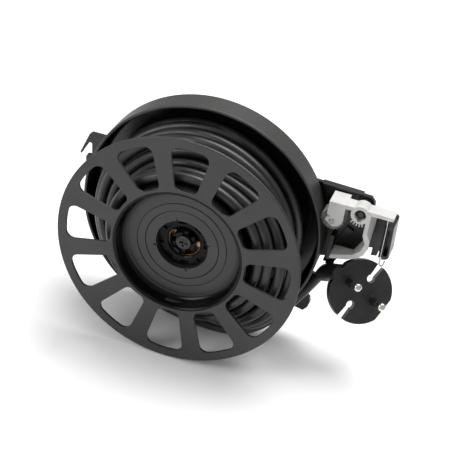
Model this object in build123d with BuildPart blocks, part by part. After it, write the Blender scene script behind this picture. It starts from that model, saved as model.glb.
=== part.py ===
"""Automatic-rewind mains cord reel module: spring-driven drum, brake lever with roller, fixed carrier.

Frame: the drum's axis is Y. +Y points to the back, where the carrier is screwed down, +X points to the
brake, +Z is up. The origin is on the drum's axis, in the plane of the mounting bosses' faces.
Lengths are millimetres.
"""

import os
from math import cos, radians, sin, tan

from build123d import *

os.makedirs("parts", exist_ok=True)

# ---- driving dimensions -------------------------------------------------------------------------

FRONT_Y = -66.0  # front face of the front flange
FLANGE_R = 73.2
FLANGE_T = 1.5
FLANGE_EDGE_R = 0.6
WINDOWS = 12
WINDOW_PHASE = 30.8
WINDOW_R_IN = 40.5
WINDOW_R_OUT = 67.3
SPOKE_HALF_IN = 4.4
SPOKE_HALF_OUT = 5.6

CUP_R = 37.2  # recess in the middle of the front flange
CUP_DEPTH = 8.9
CUP_WALL = 1.8
COVER_R = 22.3
DRUM_BORE_R = 15.7

CORE_R = 41.0
CORE_REAR_Y = -9.5
RIM_R_FRONT = 73.3  # brake rim
RIM_R_REAR = 72.6
RIM_FRONT_Y = -25.6
RIM_REAR_Y = -7.5
RIM_WALL = 2.0

SHAFT_R = 6.0
BUSH_R = 9.0
RUNNING = 0.05  # radial running clearance of the turning fits
HUB_R = 14.0

RING_R = 9.4  # inside of the slip rings
RING_WALL = 1.0

PLATE_FRONT_Y = -6.0
PLATE_T = 2.5
PLATE_R = 62.0
MOUNT_PCD = 104.0
MOUNT_HOLE_R = 2.2
BOSS_R = 6.5

LEVER_FRONT_Y = -24.5
LEVER_DEPTH = 13.0
PIVOT = (91.9, 33.5)
PIVOT_PIN_R = 3.4
ROLLER = (76.5, 24.5)
ROLLER_R = 6.9
ROLLER_FRONT_Y = -22.0
ROLLER_WIDTH = 8.5
ROLLER_PIN_R = 1.8

CORD_D = 6.0
WINDING_R = 57.5

PLUG_CENTRE = (101.8, -21.0, -18.7)
PIN_LINE = (0.830, 0.153, -0.536)
PIN_WAY = (0.429, -0.790, 0.437)
PIN_SPACING = 19.0
PIN_R = 2.4
PIN_LENGTH = 19.0
PLUG_R = 19.3
PLUG_T = 5.0

pieces = []


def front_plane(y):
    """Sketch plane facing the viewer at depth y: local x is X, local y is Z, extrusions go to -Y."""
    return Plane.XZ.offset(-y)


def finish(part, name):
    """Label a finished piece and write its STEP file."""
    part.label = name
    export_step(part, f"parts/{name}.step")
    pieces.append(part)


def polar(radius, angle):
    """Point at this radius and angle in degrees, from +X towards +Z."""
    return (radius * cos(radians(angle)), radius * sin(radians(angle)))


# ---- drum ---------------------------------------------------------------------------------------

CUP_FLOOR_Y = FRONT_Y + CUP_DEPTH
CUP_FLOOR_T = 2.0

with BuildSketch(Plane.XY) as window_sketch:
    with BuildLine():
        half = radians(180 / WINDOWS)
        out_x = WINDOW_R_OUT * cos(half) + SPOKE_HALF_OUT * sin(half)
        out_z = WINDOW_R_OUT * sin(half) - SPOKE_HALF_OUT * cos(half)
        in_x = WINDOW_R_IN * cos(half) + SPOKE_HALF_IN * sin(half)
        in_z = WINDOW_R_IN * sin(half) - SPOKE_HALF_IN * cos(half)
        ThreePointArc((out_x, -out_z), (WINDOW_R_OUT + 0.4, 0), (out_x, out_z))
        Line((out_x, out_z), (in_x, in_z))
        ThreePointArc((in_x, in_z), (WINDOW_R_IN, 0), (in_x, -in_z))
        Line((in_x, -in_z), (out_x, -out_z))
    make_face()
    fillet(window_sketch.vertices().group_by(Axis.X)[-1], 4.8)
    fillet(window_sketch.vertices().group_by(Axis.X)[0], 4.2)

with BuildPart() as front_flange:
    with BuildSketch(front_plane(FRONT_Y + FLANGE_T)):
        Circle(FLANGE_R)
        Circle(CUP_R + CUP_WALL, mode=Mode.SUBTRACT)
    extrude(amount=FLANGE_T)
    fillet(front_flange.edges().filter_by(GeomType.CIRCLE).sort_by(SortBy.RADIUS)[-2:], FLANGE_EDGE_R)
    with BuildSketch(front_plane(FRONT_Y + FLANGE_T + 1)):
        with PolarLocations(0, WINDOWS, start_angle=WINDOW_PHASE):
            add(window_sketch.sketch)
    extrude(amount=FLANGE_T + 2, mode=Mode.SUBTRACT)
finish(front_flange.part, "front_flange")

# the drum's front end, a shallow cup inside the flange
with BuildPart() as hub_cup:
    with BuildSketch(Plane.XY):
        with BuildLine():
            FilletPolyline(
                (COVER_R, CUP_FLOOR_Y),
                (CUP_R - 0.8, CUP_FLOOR_Y),
                (CUP_R, FRONT_Y),
                (CUP_R + CUP_WALL, FRONT_Y),
                (CUP_R + CUP_WALL, CUP_FLOOR_Y + CUP_FLOOR_T),
                (COVER_R, CUP_FLOOR_Y + CUP_FLOOR_T),
                radius=[0.2, 3.5, 1.6, 0.0, 0.0, 0.2],
                close=True,
            )
        make_face()
    revolve(axis=Axis.Y)
    # thin decorative groove in the cup's floor
    with BuildSketch(front_plane(CUP_FLOOR_Y + 0.5)):
        Circle(27.4)
        Circle(26.8, mode=Mode.SUBTRACT)
    extrude(amount=1.0, mode=Mode.SUBTRACT)
finish(hub_cup.part, "hub_cup")

COLLAR_R = 18.0
COLLAR_REAR_Y = -36.0
COVER_T = 2.5
FRONT_BUSH_Y = -41.0

with BuildPart() as spring_cover:
    with BuildSketch(Plane.XY):
        with BuildLine():
            Polyline(
                (DRUM_BORE_R, CUP_FLOOR_Y),
                (COVER_R - 0.5, CUP_FLOOR_Y),
                (COVER_R - 0.05, CUP_FLOOR_Y + 0.5),
                (COVER_R - 0.05, CUP_FLOOR_Y + COVER_T),
                (COLLAR_R, CUP_FLOOR_Y + COVER_T),
                (COLLAR_R, COLLAR_REAR_Y),
                (BUSH_R, COLLAR_REAR_Y),
                (BUSH_R, FRONT_BUSH_Y),
                (DRUM_BORE_R, FRONT_BUSH_Y),
                close=True,
            )
        make_face()
    revolve(axis=Axis.Y)
    # four alignment notches on the bore's front edge
    with BuildSketch(front_plane(CUP_FLOOR_Y + 0.8)):
        with PolarLocations(DRUM_BORE_R + 0.6, 4, start_angle=17):
            Rectangle(2.0, 1.2)
    extrude(amount=1.5, mode=Mode.SUBTRACT)
finish(spring_cover.part, "spring_cover")

CORE_WEB_Y = -18.0
CORE_WEB_T = 2.5
CORE_BORE_R = CUP_R + CUP_WALL

with BuildPart() as drum_core:
    with BuildSketch(Plane.XY):
        with BuildLine():
            Polyline(
                (CORE_BORE_R, FRONT_Y + FLANGE_T),
                (CORE_R, FRONT_Y + FLANGE_T),
                (CORE_R, CORE_REAR_Y),
                (CORE_BORE_R, CORE_REAR_Y),
                (CORE_BORE_R, CORE_WEB_Y + CORE_WEB_T),
                (HUB_R, CORE_WEB_Y + CORE_WEB_T),
                (HUB_R, RIM_REAR_Y),
                (BUSH_R, RIM_REAR_Y),
                (BUSH_R, CORE_WEB_Y),
                (CORE_BORE_R, CORE_WEB_Y),
                close=True,
            )
        make_face()
    revolve(axis=Axis.Y)
    # bosses that take the rear flange's screws
    with BuildSketch(front_plane(CORE_REAR_Y)):
        with PolarLocations(30, 4, start_angle=45):
            Circle(4)
    extrude(amount=CORE_REAR_Y - CORE_WEB_Y - CORE_WEB_T)
    with BuildSketch(front_plane(CORE_REAR_Y)):
        with PolarLocations(30, 4, start_angle=45):
            Circle(1.5)
    extrude(amount=8, mode=Mode.SUBTRACT)
finish(drum_core.part, "drum_core")

with BuildPart() as rear_flange:
    with BuildSketch(Plane.XY):
        with BuildLine():
            FilletPolyline(
                (HUB_R, CORE_REAR_Y),
                (RIM_R_REAR - RIM_WALL, CORE_REAR_Y),
                (RIM_R_FRONT - RIM_WALL, RIM_FRONT_Y),
                (RIM_R_FRONT, RIM_FRONT_Y),
                (RIM_R_REAR, RIM_REAR_Y),
                (HUB_R, RIM_REAR_Y),
                radius=[0.0, 2.5, 0.7, 0.7, 1.9, 0.0],
                close=True,
            )
        make_face()
    revolve(axis=Axis.Y)
    with BuildSketch(front_plane(RIM_REAR_Y)):
        with PolarLocations(30, 4, start_angle=45):
            Circle(1.5)
    extrude(amount=3, mode=Mode.SUBTRACT)
    with BuildSketch(front_plane(RIM_REAR_Y)):
        with PolarLocations(30, 4, start_angle=45):
            Circle(3.2)
    extrude(amount=1.2, mode=Mode.SUBTRACT)
    # stiffening ring on the back of the flange
    with BuildSketch(front_plane(RIM_REAR_Y + 0.4)):
        Circle(52)
        Circle(50.5, mode=Mode.SUBTRACT)
    extrude(amount=0.4)
finish(rear_flange.part, "rear_flange")

with BuildPart() as drum_screws:
    with BuildSketch(front_plane(RIM_REAR_Y - 0.1)):
        with PolarLocations(30, 4, start_angle=45):
            Circle(3.2)
    extrude(amount=1.1)
    with BuildSketch(front_plane(RIM_REAR_Y - 1.2)):
        with PolarLocations(30, 4, start_angle=45):
            Circle(1.5)
    extrude(amount=7.5)
    with BuildSketch(front_plane(RIM_REAR_Y - 0.1)):
        with PolarLocations(30, 4, start_angle=45):
            Rectangle(3.4, 0.7)
            Rectangle(0.7, 3.4)
    extrude(amount=0.7, mode=Mode.SUBTRACT)
finish(drum_screws.part, "drum_screws")


def bush(front_y, length, name):
    """Bronze bearing bush with a running bore, around the drum's axis."""
    with BuildPart() as sleeve:
        with BuildSketch(front_plane(front_y + length)):
            Circle(BUSH_R)
            Circle(SHAFT_R + RUNNING, mode=Mode.SUBTRACT)
        extrude(amount=length)
    finish(sleeve.part, name)


bush(FRONT_BUSH_Y, COLLAR_REAR_Y - FRONT_BUSH_Y, "front_bush")
bush(CORE_WEB_Y, RIM_REAR_Y - CORE_WEB_Y, "rear_bush")

SPRING_TURNS = 11
SPRING_PITCH = 2.0
SPRING_STRIP = 1.1
SPRING_R_IN = 13.0
SPRING_REAR_Y = -20.0
SPRING_WIDTH = 14.0


def half_turns(side):
    """Arcs of one edge of the spiral strip: half turns about alternating centres, tangent to each other."""
    arcs = []
    for k in range(2 * SPRING_TURNS):
        way = 1 if k % 2 == 0 else -1
        start = way * (SPRING_R_IN + k * SPRING_PITCH / 2 + side * SPRING_STRIP / 2)
        end = -way * (
            SPRING_R_IN + (k + 1) * SPRING_PITCH / 2 + side * SPRING_STRIP / 2
        )
        middle = ((start + end) / 2, way * abs(end - start) / 2)
        arcs.append(((start, 0), middle, (end, 0)))
    return arcs


with BuildPart() as mainspring:
    with BuildSketch(front_plane(SPRING_REAR_Y)):
        with BuildLine():
            inner = half_turns(-1)
            outer = half_turns(1)
            for arc in inner + outer:
                ThreePointArc(*arc)
            Line(inner[0][0], outer[0][0])
            Line(inner[-1][2], outer[-1][2])
        make_face()
    extrude(amount=SPRING_WIDTH)
finish(mainspring.part, "mainspring")

CARRIER_FRONT_Y = -53.5
CARRIER_REAR_Y = -41.1
RING_SEAT_Y = -51.6

with BuildPart() as slip_ring_carrier:
    with BuildSketch(Plane.XY):
        with BuildLine():
            Polyline(
                (RING_R + 0.3, CARRIER_FRONT_Y + 0.6),
                (RING_R + RING_WALL, CARRIER_FRONT_Y),
                (DRUM_BORE_R, CARRIER_FRONT_Y),
                (DRUM_BORE_R, CARRIER_REAR_Y),
                (RING_R + RING_WALL, CARRIER_REAR_Y),
                (RING_R + RING_WALL, RING_SEAT_Y),
                (RING_R + 0.3, RING_SEAT_Y),
                close=True,
            )
        make_face()
    revolve(axis=Axis.Y)
    # shallow pockets around the front face
    with BuildSketch(front_plane(CARRIER_FRONT_Y + 1.2)):
        with PolarLocations(13.4, 8, start_angle=10):
            Rectangle(2.6, 5.0)
    extrude(amount=2, mode=Mode.SUBTRACT)
finish(slip_ring_carrier.part, "slip_ring_carrier")

SLIP_RINGS = {"front_slip_ring": RING_SEAT_Y, "rear_slip_ring": -46.4}
RING_LENGTH = 3.6
for ring_name, ring_front in SLIP_RINGS.items():
    with BuildPart() as slip_ring:
        with BuildSketch(front_plane(ring_front + RING_LENGTH)):
            Circle(RING_R + RING_WALL)
            Circle(RING_R, mode=Mode.SUBTRACT)
        extrude(amount=RING_LENGTH)
    finish(slip_ring.part, ring_name)

with BuildPart() as cord_clamp:
    with BuildSketch(front_plane(CORE_WEB_Y + CORE_WEB_T + 4)):
        with Locations((0, -30)):
            RectangleRounded(16, 8, 1.5)
        with Locations((-5.5, -30), (5.5, -30)):
            Circle(1.25, mode=Mode.SUBTRACT)
    extrude(amount=4)
finish(cord_clamp.part, "cord_clamp")

with BuildPart() as clamp_screws:
    with BuildSketch(front_plane(CORE_WEB_Y + CORE_WEB_T + 5.4)):
        with Locations((-5.5, -30), (5.5, -30)):
            Circle(2.4)
    extrude(amount=1.4)
    with BuildSketch(front_plane(CORE_WEB_Y + CORE_WEB_T + 4)):
        with Locations((-5.5, -30), (5.5, -30)):
            Circle(1.25)
    extrude(amount=4)
finish(clamp_screws.part, "clamp_screws")

WINDING_FRONT_Y = FRONT_Y + FLANGE_T + 3.7
WINDING_LOOSE_Y = -42.0  # in front of this the turns are loose and sag to one side
LOOSE_R = 56.0
LOOSE_CENTRE = (7.0, 2.0)
with BuildPart() as cord_winding:
    with BuildSketch(front_plane(CORE_REAR_Y)):
        Circle(WINDING_R)
    extrude(amount=CORE_REAR_Y - WINDING_LOOSE_Y)
    with BuildSketch(front_plane(WINDING_LOOSE_Y)):
        Circle(WINDING_R)
    with BuildSketch(front_plane(WINDING_FRONT_Y)):
        with Locations(LOOSE_CENTRE):
            Circle(LOOSE_R)
    loft()
    with BuildSketch(front_plane(CORE_REAR_Y)):
        Circle(CORE_R)
    extrude(amount=CORE_REAR_Y - WINDING_FRONT_Y, mode=Mode.SUBTRACT)
finish(cord_winding.part, "cord_winding")

# ---- fixed carrier ------------------------------------------------------------------------------

PLATE_BACK_Y = PLATE_FRONT_Y + PLATE_T
MOUNT_ANGLES = (90, 210, 330)
BRACKET_SCREWS = ((84, 24), (90, 4))
SCREW_R = 1.3
SCREW_BITE = 2.2  # depth of the bracket's screws in its wall

with BuildSketch(Plane.XY) as sector:
    Circle(46)
    Circle(28, mode=Mode.SUBTRACT)
    with BuildLine():
        Polyline((0, 0), polar(80, -38), polar(80, 38), close=True)
    make_face(mode=Mode.INTERSECT)
    fillet(sector.vertices(), 4)

with BuildPart() as carrier_plate:
    with BuildSketch(front_plane(PLATE_BACK_Y)):
        Circle(PLATE_R)
        # snap hook with its sprung finger
        with BuildLine():
            Polyline(
                (-50, 20),
                (-69.6, 23.2),
                (-79.0, 22.9),
                (-80.4, 21.6),
                (-84.9, 7.9),
                (-83.9, 7.2),
                close=False,
            )
            Line((-83.9, 7.2), (-80.3, 15.2))
            ThreePointArc((-80.3, 15.2), (-78.9, 16.2), (-78.0, 15.0))
            Polyline((-78.0, 15.0), (-77.2, 8.2), (-66, 3), (-50, 3), (-50, 20))
        make_face()
        with BuildLine():
            Polyline(
                (-55, 8), (-76.5, 8.0), (-80.2, 7.6), (-80.9, 6.0), (-80.4, 2.0), (-60, -6),
                close=True,
            )
        make_face()
        # lower lugs
        with BuildLine():
            Polyline(
                (50, -20), (68.6, -26.0), (73.6, -28.0), (75.4, -29.4), (72.5, -35.5),
                (69.3, -34.9), (66.9, -40.5), (50, -36),
                close=True,
            )
        make_face()
        with BuildLine():
            Polyline(
                (48, -30), (66.0, -41.0), (70.5, -44.2), (71.4, -47.5), (70.4, -51.5),
                (68.1, -54.5), (52, -52), (40, -46),
                close=True,
            )
        make_face()
        # web behind the brake
        with BuildLine():
            Polyline(
                (40, 37), (94, 36), (96.5, 30), (100, 28), (100, 8), (95, 5.5), (92, 0), (89, -5.5),
                (81, -9), (70, -13), (55, -13),
                close=True,
            )
        make_face()
        with PolarLocations(MOUNT_PCD / 2, 3, start_angle=MOUNT_ANGLES[0]):
            Circle(MOUNT_HOLE_R, mode=Mode.SUBTRACT)
        with Locations(*BRACKET_SCREWS):
            Circle(SCREW_R, mode=Mode.SUBTRACT)
        Circle(SHAFT_R, mode=Mode.SUBTRACT)
    extrude(amount=PLATE_T)
    fillet(carrier_plate.edges().filter_by(Axis.Y).group_by(Axis.X)[0], 0.5)
    # lightening openings
    with BuildSketch(front_plane(PLATE_BACK_Y)):
        with PolarLocations(0, 3, start_angle=30):
            add(sector.sketch)
    extrude(amount=PLATE_T, mode=Mode.SUBTRACT)
    # mounting bosses and ribs on the back, up to the mounting plane
    with BuildSketch(front_plane(0)):
        with PolarLocations(MOUNT_PCD / 2, 3, start_angle=MOUNT_ANGLES[0]):
            Circle(BOSS_R)
            Circle(MOUNT_HOLE_R, mode=Mode.SUBTRACT)
    extrude(amount=-PLATE_BACK_Y)
    with BuildSketch(front_plane(-0.8)):
        Circle(PLATE_R - 0.8)
        Circle(PLATE_R - 2.8, mode=Mode.SUBTRACT)
        Circle(27.5)
        Circle(25.5, mode=Mode.SUBTRACT)
        with PolarLocations(36.5, 3, start_angle=MOUNT_ANGLES[0]):
            Rectangle(19, 2)
    extrude(amount=-PLATE_BACK_Y - 0.8)
    with BuildSketch(front_plane(-0.4)):
        with PolarLocations(MOUNT_PCD / 2, 3, start_angle=MOUNT_ANGLES[0]):
            Circle(MOUNT_HOLE_R)
    extrude(amount=10, mode=Mode.SUBTRACT)
finish(carrier_plate.part, "carrier_plate")

AXLE_FRONT_Y = -41.5
STUB_R = 4.0
STUB_FRONT_Y = -53.0
AXLE_BORE_R = 2.6
BACK_CAP_T = 0.8

with BuildPart() as axle:
    with BuildSketch(Plane.XY):
        with BuildLine():
            Polyline(
                (AXLE_BORE_R, STUB_FRONT_Y),
                (STUB_R, STUB_FRONT_Y),
                (STUB_R, AXLE_FRONT_Y),
                (SHAFT_R, AXLE_FRONT_Y),
                (SHAFT_R, PLATE_FRONT_Y - 1.2),
                (10.0, PLATE_FRONT_Y - 1.2),
                (10.0, PLATE_FRONT_Y),
                (SHAFT_R, PLATE_FRONT_Y),
                (SHAFT_R, PLATE_BACK_Y),
                (AXLE_BORE_R, PLATE_BACK_Y),
                close=True,
            )
        make_face()
    revolve(axis=Axis.Y)
finish(axle.part, "axle")

with BuildPart() as spring_arbor:
    with BuildSketch(front_plane(SPRING_REAR_Y + 0.5)):
        Circle(10.5)
        Circle(SHAFT_R, mode=Mode.SUBTRACT)
        with Locations((9.5, 0)):
            Rectangle(3, 1.6, mode=Mode.SUBTRACT)
    extrude(amount=SPRING_WIDTH)
finish(spring_arbor.part, "spring_arbor")

HUB_FRONT_Y = -53.0
HUB_LENGTH = 11.0
HUB_OUT_R = 7.2

with BuildPart() as contact_hub:
    with BuildSketch(front_plane(HUB_FRONT_Y + HUB_LENGTH)):
        Circle(HUB_OUT_R)
        Circle(STUB_R, mode=Mode.SUBTRACT)
        with PolarLocations(HUB_OUT_R, 3, start_angle=60):
            RectangleRounded(4.2, 3.6, 0.8, mode=Mode.SUBTRACT)
    extrude(amount=HUB_LENGTH)
    # three raised prongs at the front
    with BuildSketch(front_plane(HUB_FRONT_Y)):
        Circle(HUB_OUT_R)
        Circle(5.2, mode=Mode.SUBTRACT)
        with PolarLocations(HUB_OUT_R, 3, start_angle=60):
            Rectangle(6.5, 8.4, mode=Mode.SUBTRACT)
    extrude(amount=2.4)
finish(contact_hub.part, "contact_hub")

BRUSH_WIDTH = 2.4
with BuildPart() as contact_brushes:
    for ring_front, angle in zip(SLIP_RINGS.values(), (0, 180)):
        with BuildSketch(front_plane(ring_front + 3.0)):
            Circle(RING_R - RUNNING)
            Circle(HUB_OUT_R, mode=Mode.SUBTRACT)
            with Locations(polar(8, angle)):
                Rectangle(6, 3.2, mode=Mode.INTERSECT)
        extrude(amount=BRUSH_WIDTH)
finish(contact_brushes.part, "contact_brushes")

with BuildPart() as hub_screw:
    with BuildSketch(front_plane(STUB_FRONT_Y)):
        Circle(4.6)
    extrude(amount=1.6)
    with BuildSketch(front_plane(STUB_FRONT_Y + 7)):
        Circle(1.9)
    extrude(amount=7)
    with BuildSketch(front_plane(STUB_FRONT_Y - 0.6)):
        Rectangle(5.2, 1.0)
        Rectangle(1.0, 5.2)
    extrude(amount=2, mode=Mode.SUBTRACT)
    rim_edges = hub_screw.faces().sort_by(Axis.Y)[0].outer_wire().edges()
    fillet(rim_edges.filter_by(GeomType.CIRCLE), 0.5)
finish(hub_screw.part, "hub_screw")

with BuildPart() as contact_strips:
    with BuildSketch(front_plane(PLATE_BACK_Y + 0.4)):
        with Locations((-1.1, 0), (1.1, 0)):
            Rectangle(0.6, 2.2)
    extrude(amount=38)
finish(contact_strips.part, "contact_strips")

TERMINAL_T = 2.7
with BuildPart() as terminal_block:
    with BuildSketch(front_plane(PLATE_BACK_Y + TERMINAL_T)):
        with Locations((0, -4)):
            RectangleRounded(26, 22, 2)
    extrude(amount=TERMINAL_T)
    with BuildSketch(front_plane(PLATE_BACK_Y + 0.4)):
        with Locations((-1.1, 0), (1.1, 0)):
            Rectangle(0.6, 2.2)
    extrude(amount=0.4, mode=Mode.SUBTRACT)
    with BuildSketch(front_plane(PLATE_BACK_Y + 1.8)):
        with Locations((-6.5, -11), (6.5, -11)):
            Rectangle(6.3, 8)
    extrude(amount=0.8, mode=Mode.SUBTRACT)
finish(terminal_block.part, "terminal_block")

with BuildPart() as blade_terminals:
    with BuildSketch(front_plane(PLATE_BACK_Y + 1.8)):
        with Locations((-6.5, -14), (6.5, -14)):
            RectangleRounded(6.3, 14, 0.8)
        with Locations((-6.5, -18), (6.5, -18)):
            Circle(0.9, mode=Mode.SUBTRACT)
    extrude(amount=0.8)
finish(blade_terminals.part, "blade_terminals")

# ---- brake bracket ------------------------------------------------------------------------------

WALL_FRONT_Y = -9.0
BRACKET_CLEAR_R = 75.2  # keeps the bracket off the brake rim

with BuildPart() as brake_bracket:
    # back wall with its stepped, hooked top
    with BuildSketch(front_plane(PLATE_FRONT_Y)):
        with BuildLine():
            Polyline(
                (101, 27), (101, 5.5), (95, 3.5), (92.5, -1), (89.5, -6), (82, -9.4), (80.2, -12.8),
                (66, -14.5),
            )
            Line((66, -14.5), (56, 38.8))
            Polyline((56, 38.8), (88.8, 38.8), (89.6, 37.0), (93.2, 36.6))
            ThreePointArc((93.2, 36.6), (95.6, 35.7), (96.8, 33.4))
            Polyline((96.8, 33.4), (97.2, 29.5), (101, 27))
        make_face()
        Circle(BRACKET_CLEAR_R, mode=Mode.SUBTRACT)
    extrude(amount=PLATE_FRONT_Y - WALL_FRONT_Y)
    # rim along the top edge
    with BuildSketch(front_plane(WALL_FRONT_Y)):
        with BuildLine():
            Polyline((64.6, 38.8), (88.8, 38.8), (88.8, 37.6), (66.0, 37.6), close=True)
        make_face()
        Circle(BRACKET_CLEAR_R, mode=Mode.SUBTRACT)
    extrude(amount=1.6)
    # boss behind the lever's hub
    with BuildSketch(front_plane(WALL_FRONT_Y)):
        with Locations(PIVOT):
            Circle(5.2)
    extrude(amount=1.8)
    # column beside the brake rim, floor shelf and its short leg
    with BuildSketch(front_plane(WALL_FRONT_Y)):
        with Locations((77.6, 1.5)):
            RectangleRounded(2.6, 17, 1.2)
    extrude(amount=7)
    with BuildSketch(front_plane(PLATE_FRONT_Y)):
        with BuildLine():
            Polyline(
                (75.9, -12.6), (80.6, -12.6), (80.6, -16.6), (79.0, -16.9), (78.8, -14.2), (75.9, -14.2),
                close=True,
            )
        make_face()
    extrude(amount=3.8)
    # slanting guide rib
    with BuildSketch(front_plane(WALL_FRONT_Y)):
        with BuildLine():
            Polyline(
                (84.0, 15.2), (88.4, 13.2), (81.8, 1.0), (79.4, -8.5), (75.9, -8.5), (79.2, 3.2),
                close=True,
            )
        make_face()
    extrude(amount=1.6)
    # hole for the pivot pin and pilot holes for the screws from behind
    with BuildSketch(front_plane(PLATE_FRONT_Y)):
        with Locations(PIVOT):
            Circle(PIVOT_PIN_R)
    extrude(amount=12, mode=Mode.SUBTRACT)
    with BuildSketch(front_plane(PLATE_FRONT_Y)):
        with Locations(*BRACKET_SCREWS):
            Circle(SCREW_R)
    extrude(amount=SCREW_BITE, mode=Mode.SUBTRACT)
finish(brake_bracket.part, "brake_bracket")

with BuildPart() as bracket_screws:
    with BuildSketch(front_plane(PLATE_BACK_Y + 1.8)):
        with Locations(*BRACKET_SCREWS):
            Circle(3.0)
    extrude(amount=1.8)
    with BuildSketch(front_plane(PLATE_BACK_Y)):
        with Locations(*BRACKET_SCREWS):
            Circle(SCREW_R)
    extrude(amount=PLATE_T + SCREW_BITE)
    with BuildSketch(front_plane(PLATE_BACK_Y + 1.8)):
        with Locations(*BRACKET_SCREWS):
            Rectangle(3.2, 0.7)
            Rectangle(0.7, 3.2)
    extrude(amount=0.9, mode=Mode.SUBTRACT)
finish(bracket_screws.part, "bracket_screws")

with BuildPart() as outlet_guide:
    with BuildSketch(front_plane(PLATE_FRONT_Y)):
        with BuildLine():
            Polyline(
                (101.0, 25.0), (103.0, 28.0), (110.6, 30.4), (111.8, 29.4), (112.6, 8.0), (111.2, 6.4),
                (105.0, 4.4), (104.4, 0.8), (101.0, 0.0),
                close=True,
            )
        make_face()
    extrude(amount=3)
    with BuildSketch(front_plane(WALL_FRONT_Y)):
        with BuildLine():
            Polyline(
                (106.6, 28.8), (110.6, 30.0), (111.8, 29.2), (112.6, 8.4), (111.2, 7.0), (106.6, 5.6),
                close=True,
            )
        make_face()
    extrude(amount=11)
    # tall pocket in the front and a groove that seats the wire spring
    with BuildSketch(front_plane(WALL_FRONT_Y - 6)):
        with Locations((110.2, 18)):
            RectangleRounded(2.4, 18, 1.1)
    extrude(amount=6, mode=Mode.SUBTRACT)
    with BuildSketch(front_plane(-17.4)):
        with Locations((107.7, 20)):
            Rectangle(2.0, 40)
    extrude(amount=5, mode=Mode.SUBTRACT)
finish(outlet_guide.part, "outlet_guide")

with BuildPart() as brake_spring:
    with BuildLine():
        spring_path = FilletPolyline(
            (107.3, -18.4, 33.4),
            (107.7, -18.4, 21.0),
            (107.9, -18.4, 8.5),
            (108.6, -18.6, 1.6),
            (110.4, -18.6, 1.9),
            (110.8, -18.6, 5.0),
            radius=[30, 12, 0.9, 0.9],
        )
    with BuildSketch(Plane(origin=spring_path @ 0, z_dir=spring_path % 0)):
        Circle(0.5)
    sweep(path=spring_path)
finish(brake_spring.part, "brake_spring")

with BuildPart() as lever_pivot_pin:
    with BuildSketch(front_plane(PLATE_FRONT_Y)):
        with Locations(PIVOT):
            Circle(PIVOT_PIN_R)
    extrude(amount=15.0)
    with BuildSketch(front_plane(PLATE_FRONT_Y - 15.0)):
        with Locations(PIVOT):
            Circle(2.0)
    extrude(amount=2.5)
    chamfer(lever_pivot_pin.faces().sort_by(Axis.Y)[0].edges(), 0.4)
finish(lever_pivot_pin.part, "lever_pivot_pin")

# ---- brake lever and roller ---------------------------------------------------------------------

LEVER_BACK_Y = LEVER_FRONT_Y + LEVER_DEPTH
HUB_RING_R = 5.6
HUB_RING_BACK_Y = -16.0
EAR_T = 1.9

ARM_FRONT = [
    (95.8, 35.2), (95.8, 21.0), (96.8, 18.3), (98.2, 15.9), (96.4, 10.3), (92.5, 6.5), (79.8, 2.4),
    (79.4, -0.1), (89.9, 2.3), (96.1, 5.6), (98.6, 8.3), (100.6, 13.4), (100.4, 18.5), (98.1, 22.7),
    (98.1, 35.2),
]
ARM_BACK = [
    (97.6, 35.2), (97.6, 21.0), (97.4, 18.3), (96.9, 15.4), (94.9, 9.8), (90.8, 1.9), (79.3, 1.3),
    (79.3, -1.1), (91.3, -0.6), (94.4, 4.0), (97.0, 8.6), (99.2, 14.5), (99.7, 18.0), (99.9, 22.5),
    (99.9, 35.2),
]

with BuildPart() as brake_lever:
    # arm: a bent strip whose profile changes from front to back
    with BuildSketch(front_plane(LEVER_BACK_Y)):
        with BuildLine():
            Polyline(*ARM_BACK, close=True)
        make_face()
    with BuildSketch(front_plane(LEVER_FRONT_Y)):
        with BuildLine():
            Polyline(*ARM_FRONT, close=True)
        make_face()
    loft(ruled=True)
    # top beam
    with BuildSketch(front_plane(-15.5)):
        with BuildLine():
            Polyline(
                (82.0, 34.6), (96.0, 34.9), (109.2, 35.2), (111.0, 35.4), (111.0, 37.4), (82.0, 37.2),
                close=True,
            )
        make_face()
    extrude(amount=8.5)
    # head that holds the roller
    with BuildSketch(front_plane(LEVER_BACK_Y)):
        with BuildLine():
            Polyline((72.9, 28.4), (73.0, 37.0), (82.9, 37.3), (82.7, 25.9))
            ThreePointArc((82.7, 25.9), (80.6, 22.4), (77.0, 21.3))
            Polyline((77.0, 21.3), (72.3, 24.3), (73.0, 26.2), (75.0, 27.0), (72.9, 28.4))
        make_face()
    extrude(amount=LEVER_DEPTH)
    with BuildSketch(front_plane(LEVER_BACK_Y - EAR_T)):
        with BuildLine():
            Polyline((60, 10), (60, 31.6), (66, 32.4), (84.4, 32.4), (84.4, 10), close=True)
        make_face()
    extrude(amount=LEVER_DEPTH - 2 * EAR_T, mode=Mode.SUBTRACT)
    # hub
    with BuildSketch(front_plane(HUB_RING_BACK_Y)):
        with Locations(PIVOT):
            Circle(HUB_RING_R)
    extrude(amount=HUB_RING_BACK_Y - LEVER_FRONT_Y)
    # comb under the hub
    with BuildSketch(front_plane(LEVER_FRONT_Y + 1.5)):
        with Locations(PIVOT):
            with PolarLocations(HUB_RING_R + 0.7, 5, start_angle=232, angular_range=72):
                Rectangle(2.4, 0.6)
    extrude(amount=1.5)
    with BuildSketch(front_plane(LEVER_BACK_Y)):
        with Locations(PIVOT):
            Circle(PIVOT_PIN_R + RUNNING)
        with Locations((PIVOT[0] - 0.1, PIVOT[1] - 3.6)):
            Rectangle(2.2, 1.6)
    extrude(amount=LEVER_DEPTH, mode=Mode.SUBTRACT)
    with BuildSketch(front_plane(LEVER_BACK_Y)):
        with Locations(ROLLER):
            Circle(ROLLER_PIN_R)
    extrude(amount=LEVER_DEPTH, mode=Mode.SUBTRACT)
finish(brake_lever.part, "brake_lever")

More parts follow.
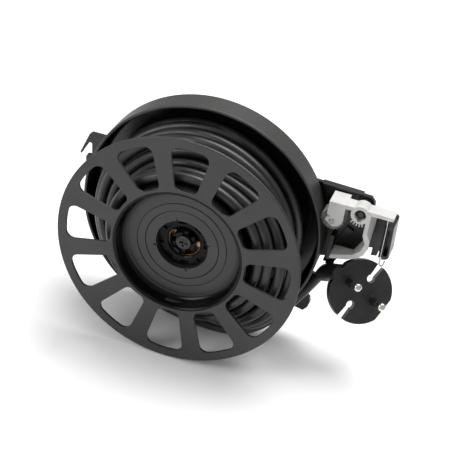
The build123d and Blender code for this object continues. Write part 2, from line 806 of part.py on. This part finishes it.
with BuildPart() as roller_pin:
    with BuildSketch(front_plane(LEVER_BACK_Y)):
        with Locations(ROLLER):
            Circle(ROLLER_PIN_R)
    extrude(amount=LEVER_DEPTH)
    chamfer(roller_pin.edges().filter_by(GeomType.CIRCLE), 0.3)
finish(roller_pin.part, "roller_pin")

TYRE_CORE_R = 4.6
with BuildPart() as roller_hub:
    with BuildSketch(front_plane(ROLLER_FRONT_Y + ROLLER_WIDTH)):
        with Locations(ROLLER):
            Circle(TYRE_CORE_R)
            Circle(ROLLER_PIN_R + RUNNING, mode=Mode.SUBTRACT)
    extrude(amount=ROLLER_WIDTH)
finish(roller_hub.part, "roller_hub")

KNURLS = 24
with BuildPart() as roller_tyre:
    with BuildSketch(front_plane(ROLLER_FRONT_Y + ROLLER_WIDTH - 0.2)):
        with Locations(ROLLER):
            Circle(ROLLER_R - 0.4)
            with PolarLocations(ROLLER_R - 0.5, KNURLS):
                Rectangle(1.0, 0.8)
            Circle(TYRE_CORE_R, mode=Mode.SUBTRACT)
    extrude(amount=ROLLER_WIDTH - 0.4)
finish(roller_tyre.part, "roller_tyre")

# ---- plug and the free end of the cord ----------------------------------------------------------

RELIEF_PATH = [(84.7, -19.8, -11.3), (81.6, -18.2, -13.4), (77.9, -15.0, -17.6), (75.0, -12.5, -21.5)]
RELIEF_RADII = [5.6, 5.2, 5.0, 3.4]

LEAD_ROUTE = [
    (75.0, -12.5, -21.5),
    (70.0, -10.2, -32.6),
    (64.4, -11.2, -42.6),
    (57.7, -16.5, -51.9),
    (49.6, -24.0, -60.2),
    (38.6, -30.0, -65.5),
    (23.9, -33.5, -66.2),
    (9.0, -35.6, -64.2),
    (-5.3, -36.7, -61.2),
]


def bend_radii(route):
    """Radius of the arc at each inner point: 0.45 of the shorter run over the tangent of half the turn."""
    radii = []
    for before, here, after in zip(route, route[1:], route[2:]):
        run_in = Vector(*here) - Vector(*before)
        run_out = Vector(*after) - Vector(*here)
        turn = radians(run_in.get_angle(run_out))
        radii.append(0.45 * min(run_in.length, run_out.length) / tan(turn / 2))
    return radii


lead_radii = bend_radii(LEAD_ROUTE)
print("cord lead bend radii:", [round(r, 1) for r in lead_radii])

with BuildPart() as cord_lead:
    with BuildLine():
        lead_path = FilletPolyline(*LEAD_ROUTE, radius=lead_radii)
    with BuildSketch(Plane(origin=lead_path @ 0, z_dir=lead_path % 0)):
        Circle(CORD_D / 2)
    sweep(path=lead_path)
finish(cord_lead.part, "cord_lead")

plug_plane = Plane(origin=PLUG_CENTRE, x_dir=PIN_LINE, z_dir=PIN_WAY)
NOTCH_R = 2.5
NOTCH_DEPTH = 9.8
FLAT_X = 17.8
GRIP_DEPTH = 8.5
FACE_BOSS = 0.4  # height of the bosses around the pins
PIN_CORE_R = 1.9
PIN_ROOT = 6.0  # depth of the pins' roots in the body

with BuildPart() as plug_body:
    with BuildSketch(plug_plane.offset(-PLUG_T)):
        Circle(PLUG_R)
        Rectangle(2 * FLAT_X, 2 * PLUG_R, mode=Mode.INTERSECT)
        for way in (1, -1):
            with Locations((0, way * NOTCH_DEPTH)):
                Circle(NOTCH_R, mode=Mode.SUBTRACT)
            with BuildLine():
                Polyline(
                    (-1.7, way * NOTCH_DEPTH),
                    (1.7, way * NOTCH_DEPTH),
                    (2.7, way * 25),
                    (-2.7, way * 25),
                    close=True,
                )
            make_face(mode=Mode.SUBTRACT)
    extrude(amount=PLUG_T)
    # grip on the back
    with BuildSketch(plug_plane.offset(-PLUG_T)):
        RectangleRounded(30, 13, 6)
    extrude(amount=-GRIP_DEPTH, taper=14)
    # collar where the strain relief starts
    with BuildSketch(Plane(origin=RELIEF_PATH[0], z_dir=(-0.926, 0.328, 0.188)).offset(-8)):
        Circle(5.8)
    extrude(amount=8)
    with BuildSketch(plug_plane):
        Circle(PLUG_R + 5)
    extrude(amount=8, mode=Mode.SUBTRACT)
    # bosses around the pins and the moulding seam between them
    with BuildSketch(plug_plane):
        with Locations((-PIN_SPACING / 2, 0), (PIN_SPACING / 2, 0)):
            Circle(3.5)
        Rectangle(2 * FLAT_X - 2, 0.6)
    extrude(amount=FACE_BOSS)
    with BuildSketch(plug_plane.offset(FACE_BOSS)):
        with Locations((-PIN_SPACING / 2, 0), (PIN_SPACING / 2, 0)):
            Circle(PIN_CORE_R)
    extrude(amount=-PIN_ROOT - FACE_BOSS, mode=Mode.SUBTRACT)
finish(plug_body.part, "plug_body")

SLEEVE_LENGTH = 10.0
with BuildPart() as pin_sleeves:
    with BuildSketch(plug_plane.offset(FACE_BOSS)):
        with Locations((-PIN_SPACING / 2, 0), (PIN_SPACING / 2, 0)):
            Circle(PIN_R)
            Circle(PIN_CORE_R, mode=Mode.SUBTRACT)
    extrude(amount=SLEEVE_LENGTH - FACE_BOSS)
finish(pin_sleeves.part, "pin_sleeves")

with BuildPart() as plug_pins:
    with BuildSketch(plug_plane.offset(-PIN_ROOT)):
        with Locations((-PIN_SPACING / 2, 0), (PIN_SPACING / 2, 0)):
            Circle(PIN_CORE_R)
    extrude(amount=PIN_ROOT + SLEEVE_LENGTH)
    with BuildSketch(plug_plane.offset(SLEEVE_LENGTH)):
        with Locations((-PIN_SPACING / 2, 0), (PIN_SPACING / 2, 0)):
            Circle(PIN_R)
    extrude(amount=PIN_LENGTH - SLEEVE_LENGTH)
    tips = plug_pins.faces().sort_by(Axis(PLUG_CENTRE, PIN_WAY))[-2:]
    fillet(tips.edges(), 1.4)
finish(plug_pins.part, "plug_pins")

with BuildPart() as strain_relief:
    ways = [
        Vector(-0.926, 0.328, 0.188),
        Vector(*RELIEF_PATH[2]) - Vector(*RELIEF_PATH[0]),
        Vector(*RELIEF_PATH[3]) - Vector(*RELIEF_PATH[1]),
        Vector(*LEAD_ROUTE[1]) - Vector(*LEAD_ROUTE[0]),
    ]
    for place, way, radius in zip(RELIEF_PATH, ways, RELIEF_RADII):
        with BuildSketch(Plane(origin=place, z_dir=way)):
            Circle(radius)
    loft()
finish(strain_relief.part, "strain_relief")
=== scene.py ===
"""Looks of the mains cord reel: camera, cords, spring wire, materials, floor and light.

Everything is in metres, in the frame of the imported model: +Y to the back, +X to the brake, +Z up, with the
origin on the drum's axis in the plane of the mounting bosses.
"""

from math import cos, pi, radians, sin, tau

import bpy
from mathutils import Matrix, Vector


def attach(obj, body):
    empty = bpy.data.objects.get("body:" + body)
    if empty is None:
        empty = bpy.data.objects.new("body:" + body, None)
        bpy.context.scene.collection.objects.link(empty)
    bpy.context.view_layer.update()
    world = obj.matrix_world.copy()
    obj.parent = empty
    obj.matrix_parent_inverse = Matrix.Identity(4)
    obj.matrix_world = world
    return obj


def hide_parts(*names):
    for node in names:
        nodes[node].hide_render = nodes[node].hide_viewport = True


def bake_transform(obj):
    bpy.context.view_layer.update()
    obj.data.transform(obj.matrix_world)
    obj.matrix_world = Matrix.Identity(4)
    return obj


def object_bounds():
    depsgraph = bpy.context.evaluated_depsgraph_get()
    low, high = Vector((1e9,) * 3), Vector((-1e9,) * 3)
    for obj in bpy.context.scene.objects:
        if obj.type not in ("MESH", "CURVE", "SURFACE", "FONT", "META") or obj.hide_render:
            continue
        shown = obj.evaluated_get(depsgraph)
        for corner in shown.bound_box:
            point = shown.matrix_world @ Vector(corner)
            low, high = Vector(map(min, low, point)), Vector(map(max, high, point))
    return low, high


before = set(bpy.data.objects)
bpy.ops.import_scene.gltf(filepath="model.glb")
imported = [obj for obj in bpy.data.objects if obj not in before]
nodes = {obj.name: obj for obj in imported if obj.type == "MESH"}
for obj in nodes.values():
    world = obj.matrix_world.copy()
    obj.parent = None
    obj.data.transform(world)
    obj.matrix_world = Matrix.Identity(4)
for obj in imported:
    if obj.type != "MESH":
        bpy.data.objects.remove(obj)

cad_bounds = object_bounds()

# ---- camera -------------------------------------------------------------------------------------

EYE = Vector((0.19784, -0.82681, 0.53441))
LOOK = Vector((-0.18297, 0.81750, -0.54609)).normalized()
CAMERA_UP = Vector((-0.29065, 0.48566, 0.82441))
LENS_MM = 131.6

camera_data = bpy.data.cameras.new("camera")
camera_data.lens = LENS_MM
camera_data.sensor_width = 36.0
camera_data.clip_start = 0.05
camera_data.dof.use_dof = False
camera = bpy.data.objects.new("camera", camera_data)
bpy.context.scene.collection.objects.link(camera)
right = LOOK.cross(CAMERA_UP).normalized()
up = right.cross(LOOK)
camera.matrix_world = Matrix.Translation(EYE) @ Matrix((right, up, -LOOK)).transposed().to_4x4()
bpy.context.scene.camera = camera

# ---- shader helpers -----------------------------------------------------------------------------


class Shader:
    """A material with one Principled shader, and short calls that add procedural detail to it."""

    def __init__(self, name, colour, roughness, metallic=0.0, **sockets):
        self.material = bpy.data.materials.new(name)
        self.material.use_nodes = True
        self.tree = self.material.node_tree
        self.bsdf = self.tree.nodes["Principled BSDF"]
        self.place = self.add("ShaderNodeTexCoord").outputs["Object"]
        self.bsdf.inputs["Base Color"].default_value = (*colour, 1)
        self.bsdf.inputs["Roughness"].default_value = roughness
        self.bsdf.inputs["Metallic"].default_value = metallic
        for socket, value in sockets.items():
            self.bsdf.inputs[socket.replace("_", " ")].default_value = value
        self.colour = colour
        self.normal = None

    def add(self, kind, **settings):
        node = self.tree.nodes.new(kind)
        for key, value in settings.items():
            setattr(node, key, value)
        return node

    def link(self, output, target):
        self.tree.links.new(output, target)

    def noise(self, size, detail=3.0, stretch=(1, 1, 1), offset=0.0):
        """Noise whose blobs are about this size in metres, drawn out along the axes with a small stretch."""
        mapping = self.add("ShaderNodeMapping")
        mapping.inputs["Scale"].default_value = stretch
        mapping.inputs["Location"].default_value = (offset, offset, offset)
        self.link(self.place, mapping.inputs["Vector"])
        texture = self.add("ShaderNodeTexNoise")
        texture.inputs["Scale"].default_value = 1 / size
        texture.inputs["Detail"].default_value = detail
        self.link(mapping.outputs["Vector"], texture.inputs["Vector"])
        return texture.outputs["Fac"]

    def ramp(self, value, low, high, out_low, out_high):
        node = self.add("ShaderNodeMapRange")
        limits = {"From Min": low, "From Max": high, "To Min": out_low, "To Max": out_high}
        for socket, number in limits.items():
            node.inputs[socket].default_value = number
        self.link(value, node.inputs["Value"])
        return node.outputs["Result"]

    def tint(self, value, other, low=0.35, high=0.65, most=1.0):
        """Mixes another colour into the base colour where the value runs from low to high."""
        mix = self.add("ShaderNodeMix", data_type="RGBA")
        source = self.bsdf.inputs["Base Color"]
        if source.is_linked:
            self.link(source.links[0].from_socket, mix.inputs["A"])
        else:
            mix.inputs["A"].default_value = source.default_value
        mix.inputs["B"].default_value = (*other, 1)
        self.link(self.ramp(value, low, high, 0.0, most), mix.inputs["Factor"])
        self.link(mix.outputs["Result"], source)
        return self

    def roughen(self, value, low, high):
        """Roughness runs from low to high over the value's usual range."""
        self.link(self.ramp(value, 0.3, 0.7, low, high), self.bsdf.inputs["Roughness"])
        return self

    def soft_edges(self, radius):
        """Rounds the look of sharp moulded edges."""
        bevel = self.add("ShaderNodeBevel", samples=4)
        bevel.inputs["Radius"].default_value = radius
        self.normal = bevel.outputs["Normal"]
        self.link(self.normal, self.bsdf.inputs["Normal"])
        return self

    def bump(self, value, depth, strength=1.0):
        """Raises the surface by up to this depth in metres."""
        node = self.add("ShaderNodeBump")
        node.inputs["Strength"].default_value = strength
        node.inputs["Distance"].default_value = depth
        self.link(value, node.inputs["Height"])
        if self.normal is not None:
            self.link(self.normal, node.inputs["Normal"])
        self.normal = node.outputs["Normal"]
        self.link(self.normal, self.bsdf.inputs["Normal"])
        return self

    def around_axis(self):
        """Distance from the drum's axis, in metres."""
        parts = self.add("ShaderNodeSeparateXYZ")
        self.link(self.place, parts.inputs["Vector"])
        flat = self.add("ShaderNodeCombineXYZ")
        self.link(parts.outputs["X"], flat.inputs["X"])
        self.link(parts.outputs["Z"], flat.inputs["Z"])
        length = self.add("ShaderNodeVectorMath", operation="LENGTH")
        self.link(flat.outputs["Vector"], length.inputs[0])
        return length.outputs["Value"]

    def rings(self, spacing):
        """Turning marks: fine rings about the drum's axis, as a wave of the distance from it."""
        wave = self.add("ShaderNodeMath", operation="SINE")
        scale = self.add("ShaderNodeMath", operation="MULTIPLY")
        scale.inputs[1].default_value = tau / spacing
        self.link(self.around_axis(), scale.inputs[0])
        self.link(scale.outputs["Value"], wave.inputs[0])
        return self.ramp(wave.outputs["Value"], -1.0, 1.0, 0.0, 1.0)


# ---- materials ----------------------------------------------------------------------------------

RIM_INNER_R = 0.0722  # rear flange's rim, inside of its wall
CUP_FLOOR_R = 0.0318  # where the cup's floor starts to turn up
CUP_WALL_R = 0.0352

def satin_plastic(name, colour, roughness, grain=0.00035, edge=0.00035):
    """Moulded plastic with a fine spark-eroded grain, slight mottling and handling marks."""
    shader = Shader(name, colour, roughness)
    shader.tint(shader.noise(0.03), tuple(0.8 * c for c in colour))
    shader.tint(shader.noise(0.006, 5, offset=0.3), tuple(1.22 * c for c in colour), 0.5, 0.75, 0.6)
    shader.roughen(shader.noise(0.012, 4, offset=0.7), roughness - 0.06, roughness + 0.08)
    shader.soft_edges(edge)
    shader.bump(shader.noise(grain, 2), 0.00004, 0.35)
    return shader


def flange_plastic():
    """Front flange: satin dark grey, with faint flow lines that run outwards from the middle."""
    shader = satin_plastic("flange_plastic", (0.023, 0.0235, 0.0225), 0.4)
    shader.bump(shader.rings(0.0021), 0.000004, 0.3)
    return shader.material


def cup_plastic():
    """The drum's front end: like the flange, but its turned-up wall is polished and tinted near black as
    painted shade in the recess.
    """
    shader = satin_plastic("cup_wall_plastic", (0.022, 0.0225, 0.0215), 0.4)
    radius = shader.around_axis()
    wall = shader.ramp(radius, CUP_FLOOR_R, CUP_WALL_R, 0.0, 1.0)
    # painted shade: the turned-up wall inside the cup is tinted near black for the shade that falls in the
    # recess
    shader.tint(wall, (0.0025, 0.0025, 0.0025), 0.0, 1.0)
    shader.link(shader.ramp(wall, 0.0, 1.0, 0.4, 0.13), shader.bsdf.inputs["Roughness"])
    shader.link(shader.ramp(wall, 0.0, 1.0, 0.5, 0.16), shader.bsdf.inputs["Specular IOR Level"])
    return shader.material


def drum_plastic():
    """Rear flange and core: polished inside the rim and grained on its outer face, which is painted lighter
    than the inner face as painted light from above.
    """
    shader = Shader("drum_plastic", (0.0055, 0.0055, 0.0053), 0.2)
    radius = shader.around_axis()
    outer_face_light_and_grain = shader.ramp(radius, RIM_INNER_R, RIM_INNER_R + 0.0003, 0.0, 1.0)
    # painted light: the outer face of the rim gets a lighter colour than the inner face, for the light
    # falling on it
    shader.tint(outer_face_light_and_grain, (0.030, 0.030, 0.029), 0.0, 1.0)
    grain = shader.add("ShaderNodeMix", data_type="FLOAT")
    shader.link(outer_face_light_and_grain, grain.inputs["Factor"])
    shader.link(shader.ramp(shader.noise(0.02, 4), 0.3, 0.7, 0.14, 0.24), grain.inputs["A"])
    shader.link(shader.ramp(shader.noise(0.004, 4), 0.3, 0.7, 0.4, 0.5), grain.inputs["B"])
    shader.link(grain.outputs["Result"], shader.bsdf.inputs["Roughness"])
    shader.soft_edges(0.0004)
    shader.bump(shader.noise(0.0005, 2), 0.00003, 0.25)
    shader.bump(shader.noise(0.018, 2, offset=0.4), 0.0002, 0.25)
    return shader.material


def nylon():
    """Brake lever: natural white nylon, a little see-through, greyed by dust in patches."""
    shader = Shader("lever_nylon", (0.56, 0.555, 0.54), 0.4, Subsurface_Weight=0.35, Subsurface_Scale=0.002)
    shader.bsdf.inputs["Subsurface Radius"].default_value = (1.0, 0.95, 0.9)
    shader.tint(shader.noise(0.009, 5), (0.42, 0.415, 0.40), 0.45, 0.75, 0.7)
    shader.tint(shader.noise(0.0016, 4, offset=0.2), (0.28, 0.27, 0.255), 0.62, 0.78, 0.35)
    shader.roughen(shader.noise(0.005, 4), 0.34, 0.5)
    shader.soft_edges(0.0004)
    shader.bump(shader.noise(0.0009, 3), 0.00004, 0.3)
    return shader.material


def worn_rubber():
    """Brake roller: ribbed grey rubber, fuzzy with wear and dust."""
    shader = Shader("worn_rubber", (0.13, 0.125, 0.105), 0.85, Sheen_Weight=0.25, Sheen_Roughness=0.5)
    shader.tint(shader.noise(0.0014, 6), (0.30, 0.29, 0.25), 0.45, 0.62, 0.9)
    shader.tint(shader.noise(0.0025, 4, offset=0.5), (0.05, 0.05, 0.045), 0.52, 0.66, 0.9)
    shader.bump(shader.noise(0.0007, 5), 0.0003, 0.7)
    return shader.material


def cord_sheath():
    """Flexible PVC sheath: soft sheen, faint lay of the cores under it, scuffs."""
    shader = Shader("cord_sheath", (0.0095, 0.0098, 0.0102), 0.3)
    shader.tint(shader.noise(0.02, 4), (0.021, 0.0215, 0.022), 0.4, 0.7)
    shader.tint(shader.noise(0.0012, 5, stretch=(1, 3, 1), offset=0.6), (0.05, 0.05, 0.049), 0.62, 0.8, 0.5)
    shader.roughen(shader.noise(0.01, 4, offset=0.2), 0.3, 0.46)
    shader.bump(shader.noise(0.0022, 2), 0.0002, 0.25)
    shader.bump(shader.noise(0.0004, 2), 0.00003, 0.3)
    return shader.material


def plug_pvc():
    """Plug and strain relief: matt black PVC with a fine eroded grain."""
    shader = Shader("plug_pvc", (0.0125, 0.0125, 0.0128), 0.42)
    shader.tint(shader.noise(0.008, 4), (0.019, 0.019, 0.019), 0.4, 0.7)
    shader.roughen(shader.noise(0.006, 4, offset=0.1), 0.36, 0.5)
    shader.soft_edges(0.0004)
    shader.bump(shader.noise(0.0005, 2), 0.00006, 0.4)
    return shader.material


def metal(name, colour, roughness, edge=0.00015, marks=(1, 8, 1), tarnish=None):
    """Metal with fine drawn or turned marks and, if named, a tarnish colour in patches."""
    shader = Shader(name, colour, roughness, metallic=1.0)
    if tarnish:
        shader.tint(shader.noise(0.003, 5), tarnish, 0.45, 0.7, 0.8)
    shader.roughen(shader.noise(0.002, 5, stretch=marks), roughness * 0.75, roughness * 1.4)
    shader.soft_edges(edge)
    shader.bump(shader.noise(0.0004, 3, stretch=marks), 0.00001, 0.4)
    return shader.material


def greased_plastic(name, colour):
    """Hub parts: black, wet with contact grease in streaks."""
    shader = Shader(name, colour, 0.3, Specular_IOR_Level=0.12)
    shader.tint(shader.noise(0.002, 6), tuple(2.6 * c for c in colour), 0.55, 0.7, 0.7)
    shader.roughen(shader.noise(0.003, 5, offset=0.4), 0.12, 0.42)
    shader.soft_edges(0.0002)
    shader.bump(shader.noise(0.0016, 3), 0.00025, 0.5)
    return shader.material


sheath = cord_sheath()
nickel = metal("bright_nickel", (0.80, 0.78, 0.74), 0.16, tarnish=(0.62, 0.58, 0.50))
brass = metal("turned_brass", (0.34, 0.22, 0.12), 0.3, tarnish=(0.05, 0.03, 0.017))
zinc = metal("zinc_plated_steel", (0.50, 0.50, 0.51), 0.3, tarnish=(0.38, 0.38, 0.36))
turned_steel = metal("turned_steel", (0.42, 0.42, 0.43), 0.28)
spring_steel = metal("spring_steel", (0.55, 0.55, 0.56), 0.24, marks=(1, 1, 6))
bronze = metal("sintered_bronze", (0.55, 0.38, 0.22), 0.45, tarnish=(0.30, 0.20, 0.12))
carrier_black = satin_plastic("carrier_plastic", (0.0085, 0.0085, 0.0083), 0.33).material
drum_black = drum_plastic()
hub_grey = greased_plastic("hub_grey_plastic", (0.0045, 0.0046, 0.0045))
hub_black = greased_plastic("hub_black_plastic", (0.0018, 0.0018, 0.0018))
plug_black = plug_pvc()

FINISHES = {
    "front_flange": flange_plastic(),
    "hub_cup": cup_plastic(),
    "spring_cover": satin_plastic("cover_plastic", (0.021, 0.0215, 0.0205), 0.4).material,
    "drum_core": drum_black,
    "rear_flange": drum_black,
    "drum_screws": zinc,
    "front_bush": bronze,
    "rear_bush": bronze,
    "mainspring": spring_steel,
    "slip_ring_carrier": hub_black,
    "front_slip_ring": brass,
    "rear_slip_ring": brass,
    "cord_clamp": hub_black,
    "clamp_screws": zinc,
    "carrier_plate": carrier_black,
    "brake_bracket": carrier_black,
    "outlet_guide": carrier_black,
    "bracket_screws": zinc,
    "lever_pivot_pin": satin_plastic("pin_plastic", (0.012, 0.012, 0.012), 0.3, edge=0.0002).material,
    "axle": turned_steel,
    "spring_arbor": turned_steel,
    "contact_hub": hub_grey,
    "contact_brushes": brass,
    "hub_screw": metal("blackened_steel", (0.05, 0.05, 0.05), 0.3, tarnish=(0.02, 0.02, 0.019)),
    "contact_strips": brass,
    "terminal_block": hub_black,
    "blade_terminals": nickel,
    "strain_relief": plug_black,
    "plug_body": plug_black,
    "pin_sleeves": satin_plastic("pin_sleeve_plastic", (0.012, 0.012, 0.012), 0.28, edge=0.0002).material,
    "plug_pins": nickel,
    "brake_lever": nylon(),
    "roller_pin": turned_steel,
    "roller_hub": satin_plastic("roller_core_plastic", (0.18, 0.18, 0.17), 0.5).material,
    "roller_tyre": worn_rubber(),
}
for node_name, material in FINISHES.items():
    nodes[node_name].data.materials.clear()
    nodes[node_name].data.materials.append(material)

# ---- cords --------------------------------------------------------------------------------------

CORD_D = 0.006


def cord_curve(name, points, radius, material):
    """A round cord along one open NURBS spline through these control points."""
    curve = bpy.data.curves.new(name, "CURVE")
    curve.dimensions = "3D"
    curve.bevel_depth = radius
    curve.bevel_resolution = 5
    curve.resolution_u = 6
    curve.use_fill_caps = True
    spline = curve.splines.new("NURBS")
    spline.points.add(len(points) - 1)
    for control, point in zip(spline.points, points):
        control.co = (*point, 1)
    spline.order_u = 3
    spline.use_endpoint_u = True
    curve.materials.append(material)
    piece = bpy.data.objects.new(name, curve)
    bpy.context.scene.collection.objects.link(piece)
    return piece


def line_of(piece):
    """Points along a curve's own spline, without its thickness."""
    bare = piece.data.copy()
    bare.bevel_depth = 0
    probe = bpy.data.objects.new("probe", bare)
    bpy.context.scene.collection.objects.link(probe)
    bpy.context.view_layer.update()
    mesh = bpy.data.meshes.new_from_object(probe.evaluated_get(bpy.context.evaluated_depsgraph_get()))
    points = [v.co.copy() for v in mesh.vertices]
    bpy.data.objects.remove(probe)
    bpy.data.meshes.remove(mesh)
    bpy.data.curves.remove(bare)
    return points


def length_of(points):
    return sum((b - a).length for a, b in zip(points, points[1:]))


# the free lead, from the winding to the strain relief
LEAD_ROUTE = [
    (-0.0053, -0.0367, -0.0612),
    (0.0090, -0.0356, -0.0642),
    (0.0239, -0.0335, -0.0662),
    (0.0386, -0.0300, -0.0655),
    (0.0496, -0.0240, -0.0602),
    (0.0577, -0.0165, -0.0519),
    (0.0644, -0.0112, -0.0426),
    (0.0700, -0.0102, -0.0326),
    (0.0750, -0.0125, -0.0215),
]
lead = cord_curve("lead_cord", LEAD_ROUTE, CORD_D / 2, sheath)
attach(lead, "carrier")
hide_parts("cord_lead")
length_of(line_of(lead))

# The wound cord: its first turns lie side by side on the core at one side and fan out over the front
# flange at the other, the rest fill the core, and more turns lie over its rear half.
TURN_POINTS = 16
END_ANGLE = radians(-95)
CORE_TURN_R = 0.0442
FRONT_TURN_Y = -0.0606
FAN_TURNS = 4.0
FAN_PITCH = 0.0066
FAN_SIDE = radians(-14)
FAN_TILT = radians(80)
CORE_TURNS = 7.5
REAR_STAGES = [  # turns, radius at its start and end, place along the axis at its start and end
    (0.25, 0.0442, 0.0504, -0.0132, -0.0136),
    (4.25, 0.0504, 0.0506, -0.0136, -0.0410),
    (0.25, 0.0506, 0.0566, -0.0410, -0.0405),
    (3.0, 0.0566, 0.0572, -0.0405, -0.0165),
    (0.75, 0.0575, 0.0612, -0.0165, -0.0367),
]
TURNS = CORE_TURNS + sum(stage[0] for stage in REAR_STAGES)
CORE_AND_REAR = 12.0  # turns before the outermost layer


def angle_at(turn):
    """Direction of the winding after this many turns from its inner end."""
    return END_ANGLE - tau * (TURNS - turn)


def core_place(turn, angle):
    """Radius and place along the axis of the first turns, which fan out to one side."""
    side = max(0.0, cos(angle - FAN_SIDE)) ** 1.5
    tilt = FAN_TILT * side
    fanned = min(turn, FAN_TURNS)
    radius = CORE_TURN_R + FAN_PITCH * fanned * sin(tilt)
    along = FRONT_TURN_Y + FAN_PITCH * fanned * cos(tilt)
    if turn > FAN_TURNS:
        rest = (turn - FAN_TURNS) / (CORE_TURNS - FAN_TURNS)
        settle = min(1.0, 2.5 * rest)
        radius += (CORE_TURN_R - radius) * settle
        along += (REAR_STAGES[0][3] - along) * rest
    return radius, along


def winding_points():
    """Control points of the wound cord, turn after turn, ending where the lead leaves it."""
    places = []
    for k in range(round(CORE_TURNS * TURN_POINTS)):
        turn = k / TURN_POINTS
        places.append((turn, *core_place(turn, angle_at(turn))))
    done = CORE_TURNS
    for turns, r_start, r_end, y_start, y_end in REAR_STAGES:
        count = round(turns * TURN_POINTS)
        for k in range(count):
            share = k / count
            along = y_start + share * (y_end - y_start)
            places.append((done + share * turns, r_start + share * (r_end - r_start), along))
        done += turns
    points = []
    for turn, radius, along in places:
        angle = angle_at(turn)
        outer = min(1.0, max(0.0, turn - CORE_AND_REAR), max(0.0, TURNS - turn) * 2)
        loose = min(1.0, turn, max(0.0, CORE_AND_REAR - turn))
        radius += loose * 0.0007 * sin(2.3 * angle + 1.7 * turn) - max(0.0, 0.2 - turn) * 0.03
        along += loose * 0.0011 * sin(angle + 2.4 * turn)
        radius += 0.0003 * (1 + sin(5.3 * turn)) + outer * 0.0012 * (1 + sin(2.7 * turn + 0.5))
        along += 0.0004 * sin(3.1 * turn + 1.0) + outer * 0.0016 * sin(1.9 * angle + 0.6 * turn)
        reach = radius / cos(pi / TURN_POINTS)
        points.append((reach * cos(angle), max(along, FRONT_TURN_Y - 0.0005), reach * sin(angle)))
    points.append(LEAD_ROUTE[0])
    return points


winding = cord_curve("wound_cord", winding_points(), CORD_D / 2, sheath)
winding_line = line_of(winding)
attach(winding, "drum")
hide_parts("cord_winding")

# ---- spring wire between the lever and the outlet guide ------------------------------------------

SPRING_ROUTE = [
    (0.1073, -0.0184, 0.0334),
    (0.1076, -0.0184, 0.0270),
    (0.1077, -0.0184, 0.0200),
    (0.1078, -0.0184, 0.0130),
    (0.1079, -0.0184, 0.0075),
    (0.1080, -0.0185, 0.0035),
    (0.1084, -0.0186, 0.0015),
    (0.1096, -0.0186, 0.0010),
    (0.1106, -0.0186, 0.0020),
    (0.1108, -0.0186, 0.0050),
]
wire_curve = cord_curve("spring_wire_curve", SPRING_ROUTE, 0.0005, spring_steel)
bpy.context.view_layer.update()
wire_mesh = bpy.data.meshes.new_from_object(
    wire_curve.evaluated_get(bpy.context.evaluated_depsgraph_get())
)
bpy.data.objects.remove(wire_curve)
wire_mesh.materials.clear()
wire_mesh.materials.append(spring_steel)
wire = bpy.data.objects.new("brake_spring_wire", wire_mesh)
bpy.context.scene.collection.objects.link(wire)
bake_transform(wire)
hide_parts("brake_spring")

# ---- floor and light ----------------------------------------------------------------------------

FLOOR_Z = cad_bounds[0][2] - 0.0005

floor_mesh = bpy.data.meshes.new("floor")
HALF = 3.0
floor_mesh.from_pydata(
    [(-HALF, -HALF, FLOOR_Z), (HALF, -HALF, FLOOR_Z), (HALF, HALF, FLOOR_Z), (-HALF, HALF, FLOOR_Z)],
    [],
    [(0, 1, 2, 3)],
)
floor = bpy.data.objects.new("floor", floor_mesh)
bpy.context.scene.collection.objects.link(floor)
floor_shader = Shader("floor_white", (0.93, 0.93, 0.93), 0.8)
floor_mesh.materials.append(floor_shader.material)

world = bpy.data.worlds.new("studio")
bpy.context.scene.world = world
world.use_nodes = True
world.node_tree.nodes["Background"].inputs["Color"].default_value = (1.0, 1.0, 1.0, 1)
world.node_tree.nodes["Background"].inputs["Strength"].default_value = 0.42


def softbox(name, place, aim, size, watts):
    """A rectangular area light at a place, facing a point."""
    light = bpy.data.lights.new(name, "AREA")
    light.shape = "RECTANGLE"
    light.size, light.size_y = size
    light.energy = watts
    lamp = bpy.data.objects.new(name, light)
    bpy.context.scene.collection.objects.link(lamp)
    lamp.location = place
    lamp.rotation_euler = (Vector(aim) - Vector(place)).to_track_quat("-Z", "Y").to_euler()
    return lamp


softbox("overhead_softbox", (0.15, 0.25, 0.95), (0.0, -0.03, 0.0), (0.9, 0.6), 13.0)
softbox("front_left_softbox", (-0.7, -0.8, 0.55), (0.0, -0.03, 0.0), (0.5, 0.7), 6.0)

bpy.context.scene.view_settings.view_transform = "Standard"
